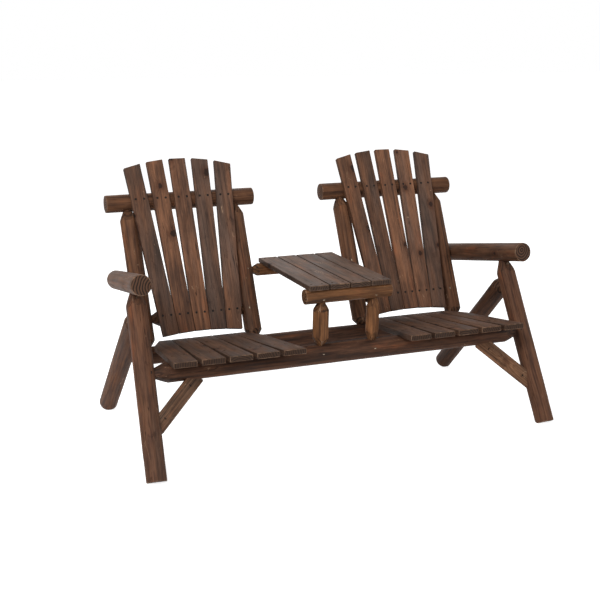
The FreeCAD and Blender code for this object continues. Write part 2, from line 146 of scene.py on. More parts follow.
def sidePoints(side):
    s = sideFrame
    meeting = atHeight(s["frontFoot"], s["frontTop"], s["legMeeting"])
    run = s["rearFloor"] - meeting
    lift = s["rearLegRadius"] * math.hypot(run.x, run.y) / run.length - s["rearFootTrim"]
    rearFoot = s["rearFloor"] + zAxis * lift
    points = {
        "frontFoot": s["frontFoot"],
        "frontTop": s["frontTop"],
        "legMeeting": meeting,
        "rearFoot": rearFoot,
        "frontBeamEnd": atHeight(s["frontFoot"], s["frontTop"], s["frontBeam"]),
        "rearBeamEnd": atHeight(rearFoot, meeting, s["rearBeam"]),
    }
    return {name: Vector((p.x * side, p.y, p.z)) for name, p in points.items()}


sides = {"left": sidePoints(-1), "right": sidePoints(1)}
outward = {"left": -xAxis, "right": xAxis}
frontBeamAxis = Vector((0, sides["right"]["frontBeamEnd"].y, sideFrame["frontBeam"]))
rearBeamAxis = Vector((0, sides["right"]["rearBeamEnd"].y, sideFrame["rearBeam"]))
chairX = sides["right"]["rearBeamEnd"].x - chairBack["outerPostInset"] - chairBack["postSpacing"] / 2
innerPostX = chairX - chairBack["postSpacing"] / 2
outerPostX = chairX + chairBack["postSpacing"] / 2
postBottom = rearBeamAxis
postTop = Vector((0, chairBack["topRailY"], chairBack["topRailHeight"]))
postUp = (postTop - postBottom).normalized()
lowerRail = atHeight(postBottom, postTop, chairBack["lowerRailHeight"])
lowerRail -= yAxis * chairBack["lowerRailForward"]
railSpacing = (postTop - lowerRail).length
backUp = (postTop - lowerRail).normalized()
backRearward = -xAxis.cross(backUp)
slatFace = chairBack["topRailRadius"] - chairBack["flatDepth"] + chairBack["slatThickness"]

frontToSeat = sideFrame["frontBeamRadius"] - seat["frontFlatDepth"]
rearToSeat = sideFrame["rearBeamRadius"] - seat["rearFlatDepth"]
beamToBeam = rearBeamAxis - frontBeamAxis
twist = math.asin((frontToSeat - rearToSeat) / beamToBeam.length)
alongBeams = beamToBeam.normalized()
seatRearward = alongBeams * math.cos(twist) - xAxis.cross(alongBeams) * math.sin(twist)
seatUp = xAxis.cross(seatRearward)
seatEdge = frontBeamAxis + seatUp * (frontToSeat + seat["slatThickness"])
seatEdge -= seatRearward * seat["frontOverhang"]
seatDepth = seat["frontOverhang"] + beamToBeam.dot(seatRearward) - seat["rearSetback"]

flatsHeight = table["height"] - table["slatThickness"] + table["flatDepth"]


def postAt(x, height):
    p = atHeight(postBottom, postTop, height)
    return Vector((x, p.y, p.z))


rearCross = postAt(0, flatsHeight - table["rearRadius"])
tableRearY = rearCross.y + table["rearOverhang"]
tableFrontY = tableRearY - table["depth"]
frontCross = Vector((0, tableFrontY + table["frontSetback"], flatsHeight - table["frontRadius"]))


# materials

def linear(c):
    return c / 255 / 12.92 if c <= 10.3 else ((c / 255 + 0.055) / 1.055) ** 2.4


def srgb(r, g, b):
    return linear(r), linear(g), linear(b), 1


def addNode(tree, kind, settings=None, inputs=None):
    node = tree.nodes.new(kind)
    for key, value in (settings or {}).items():
        setattr(node, key, value)
    for key, value in (inputs or {}).items():
        if isinstance(value, bpy.types.NodeSocket):
            tree.links.new(value, node.inputs[key])
        else:
            node.inputs[key].default_value = value
    return node


def calc(tree, operation, a, b=0.0, clamp=False):
    settings = {"operation": operation, "use_clamp": clamp}
    return addNode(tree, "ShaderNodeMath", settings, {0: a, 1: b}).outputs[0]


def ramp(tree, value, low, high, toLow=0.0, toHigh=1.0):
    inputs = {"Value": value, "From Min": low, "From Max": high, "To Min": toLow, "To Max": toHigh}
    return addNode(tree, "ShaderNodeMapRange", {"interpolation_type": "SMOOTHSTEP"}, inputs).outputs[0]


def blendColor(tree, share, a, b, how="MIX"):
    settings = {"data_type": "RGBA", "blend_type": how, "clamp_result": True}
    return addNode(tree, "ShaderNodeMix", settings, {0: share, 6: a, 7: b}).outputs[2]


def attribute(tree, name, output="Fac"):
    return addNode(tree, "ShaderNodeAttribute", {"attribute_name": name}).outputs[output]


def vectorCalc(tree, operation, a, b=(0, 0, 0)):
    return addNode(tree, "ShaderNodeVectorMath", {"operation": operation}, {0: a, 1: b}).outputs[0]


# noise stretched along the wood; the scale is per metre
def grainNoise(tree, grain, seed, scale, detail, rough=0.5, output=0):
    inputs = {"Vector": vectorCalc(tree, "MULTIPLY", grain, scale), "W": seed, "Scale": 1.0, "Detail": detail,
              "Roughness": rough}
    return addNode(tree, "ShaderNodeTexNoise", {"noise_dimensions": "4D"}, inputs).outputs[output]


# thin lines where such a noise crosses its middle
def noiseLine(tree, grain, seed, scale, width):
    middle = calc(tree, "SUBTRACT", grainNoise(tree, grain, seed, scale, 2.0), 0.5)
    return ramp(tree, calc(tree, "ABSOLUTE", middle), width, 0.0)


# colours are (red, green, blue) as they show in plain light
woodLooks = {
    "leg_log": {"light": (126, 87, 64), "dark": (68, 45, 35), "grey": (108, 84, 70)},
    "arm_log": {"light": (124, 86, 63), "dark": (60, 42, 32), "grey": (130, 102, 85)},
    # the beams' own darker brown, made darker still as painted shade for the shadow under the seats
    "beam_log": {"light": (106, 72, 53), "dark": (44, 29, 22), "grey": (84, 61, 48)},
    "back_log": {"light": (132, 90, 63), "dark": (62, 41, 30), "grey": (106, 81, 66)},
    "table_log": {"light": (150, 102, 65), "dark": (64, 42, 28), "grey": (108, 82, 60)},
    "brace": {"light": (152, 111, 82), "dark": (64, 43, 31), "grey": (118, 94, 78)},
    "back_slat": {"light": (142, 99, 73), "dark": (74, 52, 41), "grey": (114, 91, 79)},
    "seat_slat": {"light": (112, 80, 60), "dark": (58, 41, 32), "grey": (95, 73, 60)},
    "table_slat": {"light": (128, 96, 76), "dark": (68, 50, 41), "grey": (112, 90, 77)},
}
# sizes in metres; knots as (number per metre, share that shows, radius as a share of their spacing)
woodGrain = {
    "ringWidth": {"log": 0.0066, "board": 0.0058},
    "ringDark": {"log": 0.48, "board": 0.4},
    "endShades": {"log": (0.72, 0.3), "board": (0.58, 0.55)},
    "knots": {"log": (14.0, 0.4, 0.1), "board": (11.0, 0.34, 0.11)},
    "shares": {"log": (0.22, 0.32, 0.24, 0.22), "board": (0.18, 0.28, 0.24, 0.3)},
    "ember": (158, 90, 54),
    "knot": (36, 23, 18),
    "knotRim": (78, 48, 33),
    "crack": (24, 16, 12),
    # rim colour: wear, with a painted highlight on the rounded edges
    "wearAndHighlight": (158, 128, 104),
    "scratch": (176, 142, 112),
    "tints": {"ring": (0.42, 0.35, 0.31, 1), "pore": (0.42, 0.36, 0.33, 1), "smudge": (0.3, 0.27, 0.26, 1)},
    "roughness": (0.55, 0.8),
    "specular": 0.16,
}


# how strongly the knot, its rim and the bend of the rings about it show
def knotPattern(tree, grain, form):
    number, shown, radius = woodGrain["knots"][form]
    if form == "board":
        part = addNode(tree, "ShaderNodeSeparateXYZ", None, {0: grain})
        along = calc(tree, "MULTIPLY", part.outputs[2], 0.75)
        place = addNode(tree, "ShaderNodeCombineXYZ", None, {0: part.outputs[0], 1: along}).outputs[0]
    else:
        place = vectorCalc(tree, "MULTIPLY", grain, (1, 1, 0.7))
    cells = addNode(tree, "ShaderNodeTexVoronoi", {"voronoi_dimensions": "2D" if form == "board" else "3D"},
                    {"Vector": place, "Scale": number})
    chance = addNode(tree, "ShaderNodeSeparateColor", None, {0: cells.outputs["Color"]})
    kept = ramp(tree, chance.outputs[0], 1 - shown, 1.02 - shown)
    size = calc(tree, "ADD", calc(tree, "MULTIPLY", chance.outputs[1], 0.8), 0.55)
    ragged = calc(tree, "MULTIPLY", grainNoise(tree, grain, 3.1, (110, 110, 80), 3.0, 0.65), 0.16)
    away = calc(tree, "DIVIDE", cells.outputs["Distance"], size)
    away = calc(tree, "ADD", away, calc(tree, "SUBTRACT", ragged, 0.08))
    return [calc(tree, "MULTIPLY", ramp(tree, away, radius * far, radius * near), kept)
            for far, near in ((1, 0.6), (2.4, 0.8), (3.8, 0))]


def woodFinish(name, look, form):
    g = woodGrain
    material = bpy.data.materials.new(name)
    material.use_nodes = True
    tree = material.node_tree
    shader = tree.nodes["Principled BSDF"]
    grain = attribute(tree, "grain", "Vector")
    endGrain = attribute(tree, "endGrain")
    knot, rim, bend = knotPattern(tree, grain, form)

    # growth rings about the pith, wandering along the wood
    wander = grainNoise(tree, grain, 7.3, (11, 11, 2.2), 2.0, 0.5, "Color")
    wander = vectorCalc(tree, "SUBTRACT", wander, (0.5, 0.5, 0.5))
    wander = vectorCalc(tree, "MULTIPLY", wander, (0.03, 0.03, 0))
    across = vectorCalc(tree, "MULTIPLY", vectorCalc(tree, "ADD", grain, wander), (1, 1, 0))
    radius = addNode(tree, "ShaderNodeVectorMath", {"operation": "LENGTH"}, {0: across}).outputs["Value"]
    radius = calc(tree, "ADD", radius, calc(tree, "MULTIPLY", bend, 0.012))
    ring = calc(tree, "DIVIDE", radius, g["ringWidth"][form])
    late = calc(tree, "FRACT", ring)
    late = calc(tree, "MULTIPLY", ramp(tree, late, 0.3, 0.88), ramp(tree, late, 1.0, 0.9))
    year = calc(tree, "FLOOR", ring)
    year = addNode(tree, "ShaderNodeTexWhiteNoise", {"noise_dimensions": "1D"}, {"W": year}).outputs[0]
    year = calc(tree, "ADD", calc(tree, "MULTIPLY", year, 0.6), 0.5)
    late = calc(tree, "MULTIPLY", late, year, clamp=True)

    fibre = grainNoise(tree, grain, 1.0, (300, 300, 8), 3.0, 0.6)
    streak = grainNoise(tree, grain, 2.0, (85, 85, 2.2), 4.0, 0.62)
    mottle = grainNoise(tree, grain, 6.0, (50, 50, 10), 3.0, 0.58)
    blotch = grainNoise(tree, grain, 5.0, (17, 17, 5.0), 4.0, 0.6)
    smudge = ramp(tree, grainNoise(tree, grain, 21.0, (27, 27, 13), 5.0, 0.7), 0.59, 0.69)
    pores = ramp(tree, grainNoise(tree, grain, 9.0, (520, 520, 20), 2.0), 0.6, 0.7)
    crack = noiseLine(tree, grain, 11.0, (60, 60, 1.8), 0.01)
    crack = calc(tree, "MULTIPLY", crack, ramp(tree, blotch, 0.5, 0.58))

    parts = g["shares"][form]
    share = calc(tree, "MULTIPLY", fibre, parts[0])
    for layer, part in ((streak, parts[1]), (mottle, parts[2]), (blotch, parts[3])):
        share = calc(tree, "ADD", share, calc(tree, "MULTIPLY", layer, part))
    share = ramp(tree, share, 0.39, 0.61)
    color = blendColor(tree, share, srgb(*look["dark"]), srgb(*look["light"]))
    ember = ramp(tree, grainNoise(tree, grain, 17.0, (30, 30, 7), 3.0, 0.6), 0.55, 0.72, 0.0, 0.5)
    color = blendColor(tree, calc(tree, "MULTIPLY", ember, share), color, srgb(*g["ember"]))
    fade = calc(tree, "SUBTRACT", grainNoise(tree, grain, 13.0, (24, 24, 2.6), 3.0), 0.5)
    greyness = calc(tree, "ADD", attribute(tree, "tone"), calc(tree, "MULTIPLY", fade, 1.7), clamp=True)
    greyed = blendColor(tree, share, srgb(*(c * 0.56 for c in look["grey"])), srgb(*look["grey"]))
    color = blendColor(tree, ramp(tree, greyness, 0.1, 0.95), color, greyed)
    stains = ((late, g["ringDark"][form], "ring"), (pores, 0.5, "pore"), (smudge, 0.6, "smudge"))
    for layer, strength, tint in stains:
        shown = calc(tree, "MULTIPLY", layer, strength)
        color = blendColor(tree, shown, color, g["tints"][tint], "MULTIPLY")
    for layer, strength, paint in ((rim, 0.65, "knotRim"), (knot, 0.88, "knot"), (crack, 0.85, "crack")):
        color = blendColor(tree, calc(tree, "MULTIPLY", layer, strength), color, srgb(*g[paint]))
    # the rims of sawn ends are lighter: wear, and a painted highlight on the rounded edges
    wearAndHighlight = calc(tree, "MULTIPLY", attribute(tree, "edge"), ramp(tree, mottle, 0.46, 0.64, 0.12, 0.65))
    color = blendColor(tree, wearAndHighlight, color, srgb(*g["wearAndHighlight"]))
    mark = noiseLine(tree, grain, 23.0, (46, 46, 13), 0.012)
    patch = ramp(tree, grainNoise(tree, grain, 27.0, (33, 33, 14), 2.0), 0.6, 0.68)
    mark = calc(tree, "MULTIPLY", mark, patch)
    color = blendColor(tree, calc(tree, "MULTIPLY", mark, 0.6), color, srgb(*g["scratch"]))
    # the piece's own lightness, with painted shade on the long sides of the boards and a tone of its own on
    # each knife cut
    color = blendColor(tree, 1.0, color, attribute(tree, "shade", "Color"), "MULTIPLY")
    # on sawn ends the rings are dark lines as wide as the wood between them
    line = calc(tree, "FRACT", calc(tree, "MULTIPLY", ring, 0.7))
    line = calc(tree, "ABSOLUTE", calc(tree, "SUBTRACT", line, 0.6))
    lightShare, darkShare = g["endShades"][form]
    cut = blendColor(tree, ramp(tree, line, 0.3, 0.14), srgb(*(c * lightShare for c in look["light"])),
                     srgb(*(c * darkShare for c in look["dark"])))
    color = blendColor(tree, calc(tree, "MULTIPLY", endGrain, 0.88), color, cut)
    tree.links.new(color, shader.inputs["Base Color"])
    shader.inputs["Specular IOR Level"].default_value = g["specular"]

    low, high = g["roughness"]
    rough = calc(tree, "ADD", calc(tree, "MULTIPLY", fibre, 0.5), calc(tree, "MULTIPLY", blotch, 0.5))
    tree.links.new(ramp(tree, rough, 0.35, 0.65, low, high), shader.inputs["Roughness"])
    height = calc(tree, "MULTIPLY", calc(tree, "SUBTRACT", fibre, pores), 0.00025)
    for layer, rise in ((late, 0.00016), (crack, -0.0008), (knot, 0.0004), (streak, 0.0008)):
        height = calc(tree, "ADD", height, calc(tree, "MULTIPLY", layer, rise))
    bump = addNode(tree, "ShaderNodeBump", None, {"Strength": 0.8, "Distance": 1.0, "Height": height})
    tree.links.new(bump.outputs[0], shader.inputs["Normal"])
    return material


screwLooks = {
    "zinc": {"color": (188, 170, 148), "roughness": 0.4, "metallic": 1.0},
    "dull": {"color": (46, 38, 32), "roughness": 0.55, "metallic": 0.6},
}


def screwFinish(name):
    look = screwLooks[name]
    material = bpy.data.materials.new("screw_" + name)
    material.use_nodes = True
    tree = material.node_tree
    shader = tree.nodes["Principled BSDF"]
    shader.inputs["Metallic"].default_value = look["metallic"]
    place = addNode(tree, "ShaderNodeTexCoord").outputs["Object"]
    stain = grainNoise(tree, place, 4.0, (420, 420, 420), 3.0)
    stained = srgb(*(c * 0.55 for c in look["color"]))
    color = blendColor(tree, ramp(tree, stain, 0.4, 0.65), srgb(*look["color"]), stained)
    tree.links.new(color, shader.inputs["Base Color"])
    rough = ramp(tree, stain, 0.3, 0.7, look["roughness"], look["roughness"] + 0.25)
    tree.links.new(rough, shader.inputs["Roughness"])
    return material


# shapes

logShape = {
    "sides": 48,
    "ringStep": 0.022,
    "edgeEase": 0.0028,
    "unevenness": 0.0011,
    "coneBulge": 0.0006,
    "facets": 6,
    "facetDepth": 0.0022,
    "planed": 5,
    "planedDepth": 0.0007,
}
# logs that were planed deeper
planedDeeper = {"table_post_left": 0.0018, "table_post_right": 0.0012}

boardShape = {
    "edgeRound": 0.0022,
    "crossCuts": 0.03,
    "unevenness": 0.0005,
    "screwHoleRadius": 0.0046,
    "screwHoleDepth": 0.0022,
}


def lengthFrame(start, direction, towards):
    z = direction.normalized()
    x = (towards - z * towards.dot(z)).normalized()
    return Matrix.Translation(start) @ Matrix((x, z.cross(x), z)).transposed().to_4x4()


# cut off all that lies beyond a plane and close the cut
def fillCut(bm, point, normal):
    geometry = bm.verts[:] + bm.edges[:] + bm.faces[:]
    cut = bmesh.ops.bisect_plane(bm, geom=geometry, plane_co=point, plane_no=normal, clear_outer=True)
    edges = [e for e in cut["geom_cut"] if isinstance(e, bmesh.types.BMEdge)]
    if edges:
        bmesh.ops.contextual_create(bm, geom=edges)


# a log along Z; a cone is (hidden tip, cone length, tip radius), None a sawn end
def logBody(length, radius, startCone, endCone, seed, planedDepth, footLength):
    shape = logShape
    ease = shape["edgeEase"]

    def endProfile(cone):
        if not cone:
            return [(0, 0), (radius - ease, 0), (radius - ease * 0.3, ease * 0.3), (radius, ease)]
        tip, run, tipRadius = cone
        points = [(0, tip * 0.4), (tipRadius, tip * 0.4), (tipRadius, tip)]
        for share in (0.2, 0.4, 0.6, 0.8):
            bulge = shape["coneBulge"] * 4 * share * (1 - share)
            points.append((tipRadius + (radius - tipRadius) * share + bulge, tip + run * share))
        return points + [(radius, tip + run), (radius, tip + run + 0.006)]

    profile = endProfile(startCone)
    profile += [(r, length - z) for r, z in reversed(endProfile(endCone))]
    bm = bmesh.new()
    verts = [bm.verts.new((r, 0, z)) for r, z in profile]
    edges = [bm.edges.new(pair) for pair in zip(verts, verts[1:])]
    longest = max(edges, key=lambda e: e.calc_length())
    cuts = int(longest.calc_length() / shape["ringStep"])
    bmesh.ops.subdivide_edges(bm, edges=[longest], cuts=cuts)
    bmesh.ops.spin(bm, geom=bm.verts[:] + bm.edges[:], cent=(0, 0, 0), axis=zAxis, dvec=(0, 0, 0),
                   angle=turn, steps=shape["sides"], use_merge=True)
    bmesh.ops.remove_doubles(bm, verts=bm.verts, dist=1e-6)
    bmesh.ops.recalc_face_normals(bm, faces=bm.faces)

    rng = random.Random(seed)
    flats = []
    for number in range(shape["planed"]):
        middle = rng.uniform(0, turn)
        flats.append((middle, radius - planedDepth * rng.uniform(0.4, 1.2)))
    for v in bm.verts:
        out = Vector((v.co.x, v.co.y, 0))
        if out.length < 1e-5:
            continue
        angle = math.atan2(out.y, out.x) + 0.1 * noise.noise(Vector((v.co.z * 3, seed * 1.3, 0)))
        if out.length > radius - 1e-5:
            away = min(flat / max(0.2, math.cos(angle - middle)) for middle, flat in flats)
            v.co -= out.normalized() * max(0, radius - away)
        wave = noise.noise(Vector((out.x * 28, out.y * 28, v.co.z * 6 + seed)))
        wave += 0.5 * noise.noise(Vector((out.x * 70, out.y * 70, v.co.z * 22 - seed)))
        sink = shape["unevenness"] * (0.5 * wave - 0.4)
        v.co -= out.normalized() * (max(0, sink) if v.co.z < footLength else sink)
    for cone, base, sense in ((startCone, 0, 1), (endCone, length, -1)):
        if cone:
            whittle(bm, cone, radius, base, sense, seed)
    return bm


# flat knife cuts round a coned end
def whittle(bm, cone, radius, base, sense, seed):
    shape = logShape
    tip, run, tipRadius = cone
    slope = math.atan2(radius - tipRadius, run)
    rng = random.Random(seed * 7 + base)
    start = rng.uniform(0, turn)
    for number in range(shape["facets"]):
        angle = start + turn * (number + rng.uniform(-0.2, 0.2)) / shape["facets"]
        out = Vector((math.cos(angle), math.sin(angle), 0))
        lean = slope + rng.uniform(-0.03, 0.03)
        normal = out * math.cos(lean) - zAxis * sense * math.sin(lean)
        middle = out * ((radius + tipRadius) / 2 + shape["coneBulge"])
        middle += zAxis * (base + sense * (tip + run / 2))
        fillCut(bm, middle - normal * shape["facetDepth"] * rng.uniform(0.8, 1.5), normal)


# a sawn board under the plane z 0; the outline holds (x, y), y along the wood
def boardBody(outline, thickness, seed):
    shape = boardShape
    bm = bmesh.new()
    face = bm.faces.new([bm.verts.new((x, y, 0)) for x, y in outline])
    made = bmesh.ops.extrude_face_region(bm, geom=[face])["geom"]
    lower = [v for v in made if isinstance(v, bmesh.types.BMVert)]
    bmesh.ops.translate(bm, verts=lower, vec=(0, 0, -thickness))
    bmesh.ops.recalc_face_normals(bm, faces=bm.faces)
    corners = [e for e in bm.edges if e.calc_face_angle() > 0.3]
    bmesh.ops.bevel(bm, geom=corners, offset=shape["edgeRound"], segments=3, profile=0.5,
                    affect="EDGES", material=-1)
    low = min(v.co.y for v in bm.verts)
    high = max(v.co.y for v in bm.verts)
    for number in range(1, int((high - low) / shape["crossCuts"])):
        y = low + number * shape["crossCuts"]
        geometry = bm.verts[:] + bm.edges[:] + bm.faces[:]
        bmesh.ops.bisect_plane(bm, geom=geometry, plane_co=(0, y, 0), plane_no=yAxis)
    middle = sum(x for x, y in outline) / len(outline)
    for v in bm.verts:
        wave = 0.5 + 0.5 * noise.noise(Vector((v.co.x * 8 + seed, v.co.y * 9, seed * 1.7)))
        v.co.x -= math.copysign(shape["unevenness"] * wave, v.co.x - middle)
    return bm


def meshOf(bm, name):
    mesh = bpy.data.meshes.new(name)
    bm.to_mesh(mesh)
    bm.free()
    return mesh


# the mesh less the cutter's solids
def cutFrom(mesh, cutter):
    body = bpy.data.objects.new("body", mesh)
    tool = bpy.data.objects.new("tool", cutter)
    for o in (body, tool):
        bpy.context.scene.collection.objects.link(o)
    less = body.modifiers.new("cut", "BOOLEAN")
    less.operation = "DIFFERENCE"
    less.solver = "EXACT"
    less.object = tool
    bpy.context.view_layer.update()
    result = bpy.data.meshes.new_from_object(body.evaluated_get(bpy.context.evaluated_depsgraph_get()))
    result.name = mesh.name
    for o in (body, tool):
        bpy.data.objects.remove(o)
    bpy.data.meshes.remove(mesh)
    bpy.data.meshes.remove(cutter)
    return result


# a block on the plane z 0 of a placement, to cut a flat with
def blockAbove(placement, halfWidth):
    bm = bmesh.new()
    bmesh.ops.create_cube(bm, size=1)
    bmesh.ops.scale(bm, vec=(2 * halfWidth, 0.5, 0.2), verts=bm.verts)
    bmesh.ops.translate(bm, vec=(0, 0, 0.1), verts=bm.verts)
    bmesh.ops.transform(bm, matrix=placement, verts=bm.verts)
    return meshOf(bm, "block")


def screwPlace(point, along):
    return lengthFrame(point, along, xAxis if abs(along.x) < 0.9 else zAxis)


# round cutters; an entry is (point on the surface, direction of the screw)
def drills(entries, radius, depth):
    above = 0.006
    bm = bmesh.new()
    for point, along in entries:
        place = screwPlace(point - along * above, along) @ Matrix.Translation((0, 0, (above + depth) / 2))
        bmesh.ops.create_cone(bm, cap_ends=True, segments=20, radius1=radius, radius2=radius,
                              depth=above + depth, matrix=place)
    return meshOf(bm, "drills")


# make the piece's object and write down where its wood runs
def finishPiece(name, mesh, nodes, slotName, look, placement, alongBoard=False, tone=0.5, shade=1.0, seed=0,
                pith=None):
    piece = bpy.data.objects.new(name, mesh)
    bpy.context.scene.collection.objects.link(piece)
    mesh.materials.clear()
    mesh.materials.append(look)
    local = placement.inverted()
    rng = random.Random(seed)
    if alongBoard:
        pith = (rng.uniform(-0.06, 0.06), rng.uniform(0.025, 0.07))
    elif not pith:
        angle = rng.uniform(0, turn)
        offset = rng.uniform(0.008, 0.024)
        pith = (math.cos(angle) * offset, math.sin(angle) * offset)
    pith = Vector((*pith, seed * 3.7))
    grain = mesh.attributes.new("grain", "FLOAT_VECTOR", "POINT")
    for v, cell in zip(mesh.vertices, grain.data):
        p = local @ v.co
        if alongBoard:
            p = Vector((p.x, p.z, p.y))
        cell.vector = p + pith
    endGrain = mesh.attributes.new("endGrain", "FLOAT", "FACE")
    edge = mesh.attributes.new("edge", "FLOAT", "FACE")
    turned = local.to_3x3()
    endRim = 2e-5
    for face, end, wearAndHighlight in zip(mesh.polygons, endGrain.data, edge.data):
        normal = [abs(c) for c in turned @ face.normal]
        along, low, run = (normal[1], 0.7, 0.2) if alongBoard else (normal[2], 0.12, 0.62)
        end.value = min(1, max(0, along - low) / run)
        if alongBoard:
            rim = normal[1] > 0.3 and max(normal) < 0.97
        else:
            rim = 0.3 < normal[2] < 0.95 and face.area < endRim
        wearAndHighlight.value = 1 if rim else 0
        if rim:
            end.value = 0
    tones = mesh.attributes.new("tone", "FLOAT", "FACE")
    tones.data.foreach_set("value", [tone] * len(mesh.polygons))
    # the long edges of the boards are darker, as painted shade for the gaps between the slats, and each knife
    # cut on a coned end has a shade of its own
    paintedGapShade = 0.6
    knifeCut = 6e-5
    shades = mesh.attributes.new("shade", "FLOAT", "FACE")
    for face, cell in zip(mesh.polygons, shades.data):
        normal = turned @ face.normal
        cell.value = shade
        if alongBoard and abs(normal.x) > 0.3:
            cell.value *= paintedGapShade
        elif not alongBoard and 0.15 < abs(normal.z) < 0.9 and face.area > knifeCut:
            cell.value *= rng.uniform(0.55, 1.1)
    mesh.shade_smooth()
    mesh.set_sharp_from_angle(angle=math.radians(28))
    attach(piece, "root")
    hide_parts(*nodes)
    return piece


# side frames

woods = {}
for name, look in woodLooks.items():
    woods[name] = woodFinish(name, look, "board" if "slat" in name else "log")
screwPaints = {name: screwFinish(name) for name in screwLooks}


def hostDistance(hostRadius, hostDirection, direction):
    return hostRadius / math.sin(hostDirection.angle(direction))


def squareTo(direction, towards):
    return (towards - direction * direction.dot(towards)).normalized()


screws = {}
seeds = iter(range(3, 400))
# how far before the middle of the other log the screw through a tenon sits
tenonSetback = {"beam": 0.015, "post": 0.009, "lowerRail": 0.007, "rearCrosspiece": 0.004, "tablePost": 0.006}


def addScrew(group, point, along):
    screws.setdefault(group, []).append((point, along))


def tenonHead(group, meeting, hostDirection, into, hostRadius, facing, setback):
    out = hostDirection.cross(into).normalized()
    if out.dot(facing) < 0:
        out = -out
    rise = math.sqrt(hostRadius ** 2 - setback ** 2)
    addScrew(group, meeting - into * setback + out * rise, -out)


# how grey a piece is (0 orange brown, 1 grey) and how light
logTones = {
    "armrest_left": (0.6, 0.93), "armrest_right": (0.1, 0.92),
    "front_leg_left": (0.3, 0.99), "front_leg_right": (0.15, 0.95),
    "rear_leg_left": (0.3, 1.0), "rear_leg_right": (0.05, 0.6),
    "left_top_rail": (0.05, 0.87), "right_top_rail": (0.05, 0.93), "left_back_post_inner": (0.35, 1.1),
    "brace_left": (0.45, 1.06), "brace_right": (0.3, 1.05),
    "table_crosspiece_front": (0.3, 0.9), "table_post_left": (0.05, 1.12), "table_post_right": (0.05, 1.12),
}
# how far a log's axis lies from the middle of its rings, as (up, right)
logPiths = {"armrest_left": (0.012, -0.045)}
slatTones = {"left": ((0.6, 0.88), (0.12, 1.09), (0.3, 1.13), (0.65, 0.93), (0.55, 1.11)),
             "right": ((0.25, 1.06), (0.45, 0.88), (0.2, 1.27), (0.35, 1.32), (0.6, 1.1))}
seatTones = {"left": ((0.4, 1.0), (0.5, 0.95), (0.45, 1.0), (0.5, 0.95), (0.4, 1.05)),
             "right": ((0.25, 1.0), (0.15, 1.0), (0.2, 1.0), (0.05, 1.1), (0.15, 1.0))}
tableTones = ((0.5, 1.0), (0.4, 1.05), (0.5, 1.0), (0.45, 0.95))


def addLog(name, start, end, radius, slotName, startCone=None, endCone=None, towards=None, cuts=(), flats=()):
    seed = next(seeds)
    along = end - start
    placement = lengthFrame(start, along, towards or -yAxis)
    # a leg's foot is one of the widest places of the bench, so it isn't thickened
    footLength = 0.08 if "leg" in name else 0
    planedDepth = planedDeeper.get(name, logShape["planedDepth"])
    bm = logBody(along.length, radius, startCone, endCone, seed, planedDepth, footLength)
    bmesh.ops.transform(bm, matrix=placement, verts=bm.verts)
    for point, normal in cuts:
        fillCut(bm, point, normal)
    mesh = meshOf(bm, name)
    for flat, halfWidth in flats:
        mesh = cutFrom(mesh, blockAbove(flat, halfWidth))
    tone, shade = logTones.get(name, (0.05, 1.0))
    return finishPiece(name + "_log", mesh, [name], slotName, woods[slotName], placement, tone=tone,
                       shade=shade, seed=seed, pith=logPiths.get(name))


def makeSide(name):
    s = sideFrame
    points = sides[name]
    upFront = (points["frontTop"] - points["frontFoot"]).normalized()
    upRear = (points["legMeeting"] - points["rearFoot"]).normalized()
    armX = outerPostX + chairBack["postRadius"] + s["armRadius"] + s["armGap"]
    besidePost = postAt(outward[name].x * armX, s["armAtPost"])
    alongArm = (besidePost - points["frontTop"]).normalized()
    floorCut = (Vector(), -zAxis)

    addLog("armrest_" + name, points["frontTop"] - alongArm * s["armFrontOverhang"],
           besidePost + alongArm * s["armRearOverhang"], s["armRadius"], "arm_log", towards=zAxis)
    toArm = hostDistance(s["armRadius"], alongArm, upFront)
    addLog("front_leg_" + name, points["frontFoot"], points["frontTop"], s["legRadius"], "leg_log",
           None, (toArm, *s["legCone"]), cuts=[floorCut])
    toLeg = hostDistance(s["legRadius"], upFront, upRear)
    addLog("rear_leg_" + name, points["rearFoot"], points["legMeeting"], s["rearLegRadius"], "leg_log",
           None, (toLeg, *s["rearLegCone"]), cuts=[floorCut])

    # screws up through the legs' cones, and from the side through the armrest into the back post
    coneLength, tipRadius = s["legCone"]
    forward = squareTo(upFront, -yAxis)
    coneMiddle = points["frontTop"] - upFront * (toArm + coneLength / 2)
    addScrew("armrest_screws", coneMiddle + forward * (s["legRadius"] + tipRadius) / 2,
             (upFront - forward * 0.3).normalized())
    downward = squareTo(upRear, -zAxis)
    shoulder = points["legMeeting"] - upRear * (toLeg + s["rearLegCone"][0])
    addScrew("leg_frame_screws", shoulder + downward * s["rearLegRadius"],
             (upRear - downward * 0.5).normalized())
    addScrew("armrest_screws", besidePost + outward[name] * s["armRadius"], -outward[name])
    for end, along, radius, facing in (("frontBeamEnd", upFront, s["legRadius"], -yAxis),
                                       ("rearBeamEnd", upRear, s["rearLegRadius"], yAxis)):
        tenonHead("leg_frame_screws", points[end], along, outward[name], radius, facing, tenonSetback["beam"])


